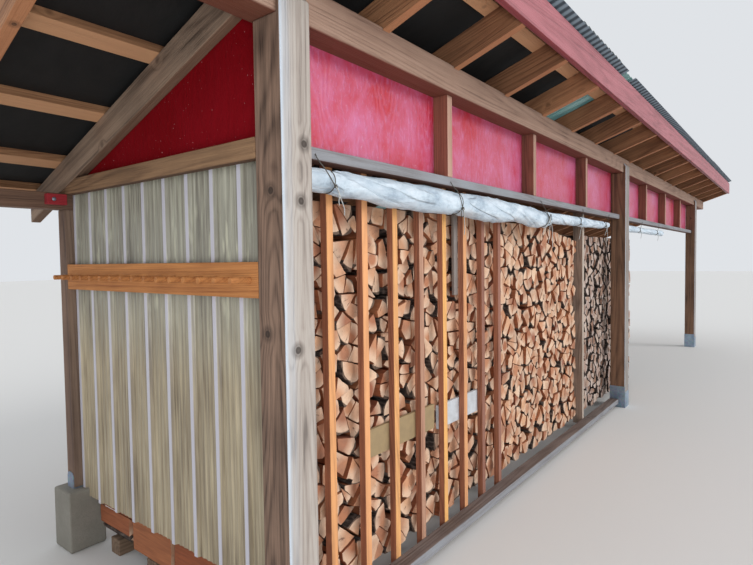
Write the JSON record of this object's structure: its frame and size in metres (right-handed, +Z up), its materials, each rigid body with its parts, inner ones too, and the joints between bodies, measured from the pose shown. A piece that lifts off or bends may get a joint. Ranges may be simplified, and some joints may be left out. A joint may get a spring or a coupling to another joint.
{
  "type": "log store",
  "caption": "Open timber log store with one sloping corrugated roof, one closed end wall, a tool rack, rolled tarpaulins and firewood stacked behind battens.",
  "frame": {"origin": "on the ground under the middle of the whole outline", "axes": "+X along the long open front, away from the closed end wall, +Y from the open front to the back, +Z up"},
  "size_m": [11.571, 2.7425, 3.0538],
  "materials": {
    "post_wood": "weathered, grey-brown, rough sawn",
    "header_wood": "weathered, tan-brown",
    "grey_wood": "weathered, grey",
    "rafter_wood": "stained by age, brown",
    "lath_wood": "rough sawn, orange-brown",
    "fascia_wood": "faded red-pink stain",
    "red_plywood": "red stain, slight sheen",
    "red_paint": "red paint",
    "felt": "matt, near black",
    "roof_sheet": "dull dark grey",
    "clear_sheet": "cloudy, lets light through",
    "wall_sheet": "beige, slightly cloudy",
    "zinc": "hot-dip galvanised",
    "concrete": "cast concrete, rough",
    "firewood": "split faces orange-tan, bark grey-brown",
    "tarp": "woven plastic sheet, pale, slight sheen",
    "rope": "thin cord"
  },
  "bodies": {
    "root": {"front_post_near": "post_wood", "front_post_middle": "post_wood", "front_post_far": "post_wood", "back_post_near": "post_wood", "back_post_middle": "post_wood", "back_post_far": "post_wood", "post_sleeves": "zinc", "post_saddles": "zinc", "back_piers": "concrete", "front_header_near": "header_wood", "front_header_far": "header_wood", "back_header_near": "header_wood", "back_header_far": "header_wood", "front_rail_near": "grey_wood", "front_rail_far": "grey_wood", "foot_rail": "grey_wood", "front_panel_near": "red_plywood", "front_panel_far": "red_plywood", "gable_panel": "red_plywood", "cripple_studs": "lath_wood", "gable_rafter": "rafter_wood", "rafters": "rafter_wood", "purlins": "lath_wood", "roof_felt": "felt", "roof_sheets": "roof_sheet", "clear_roof_sheets": "clear_sheet", "fascia_near": "fascia_wood", "fascia_far": "fascia_wood", "end_beam": "header_wood", "end_wall_sheet": "wall_sheet", "end_wall_girts": "lath_wood", "tool_rack_board": "lath_wood", "tool_rack_pegs": "lath_wood", "painted_cleat": "red_paint", "front_battens": "lath_wood", "retaining_boards": "grey_wood", "log_bearers": "grey_wood", "stack_stud": "grey_wood", "end_studs": "lath_wood", "firewood_near": "firewood", "firewood_far": "firewood", "tarp_roll_near": "tarp", "tarp_roll_far": "tarp", "roll_ties_near": "rope", "roll_ties_far": "rope"}
  },
  "joints": []
}
